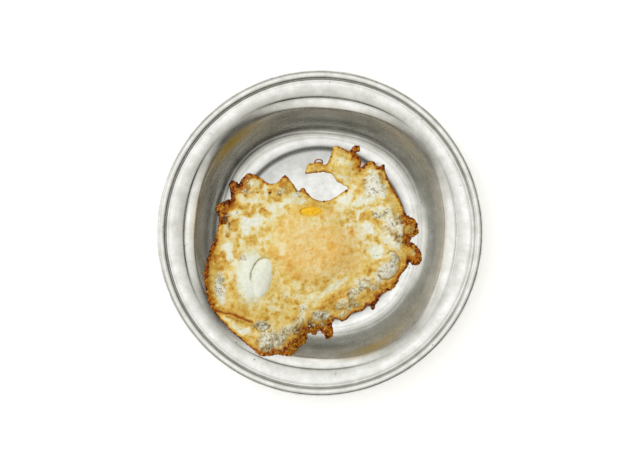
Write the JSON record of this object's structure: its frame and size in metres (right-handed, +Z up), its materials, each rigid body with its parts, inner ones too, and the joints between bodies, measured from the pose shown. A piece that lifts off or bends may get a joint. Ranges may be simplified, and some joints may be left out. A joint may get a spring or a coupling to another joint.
{
  "type": "fried egg in a steel dish",
  "caption": "Fried egg with a set yolk and browned lacy edges, lying in a round pressed steel dish whose well is a rounded square.",
  "frame": {"origin": "on the table under the middle of the dish", "axes": "+Z up through the middle of the dish, +Y towards the bite in the egg, +X to the right seen from above"},
  "size_m": [0.1634, 0.1634, 0.0202],
  "materials": {
    "steel": "pressed sheet steel, polished long ago and dulled by use, with fine rings and scratches",
    "white": "fried egg white, golden brown in blotches, oily, with dark crisp edges",
    "yolk": "set egg yolk, smooth and moist"
  },
  "bodies": {
    "root": {"dish": "steel", "egg_white": "white", "yolk": "yolk"}
  },
  "joints": []
}
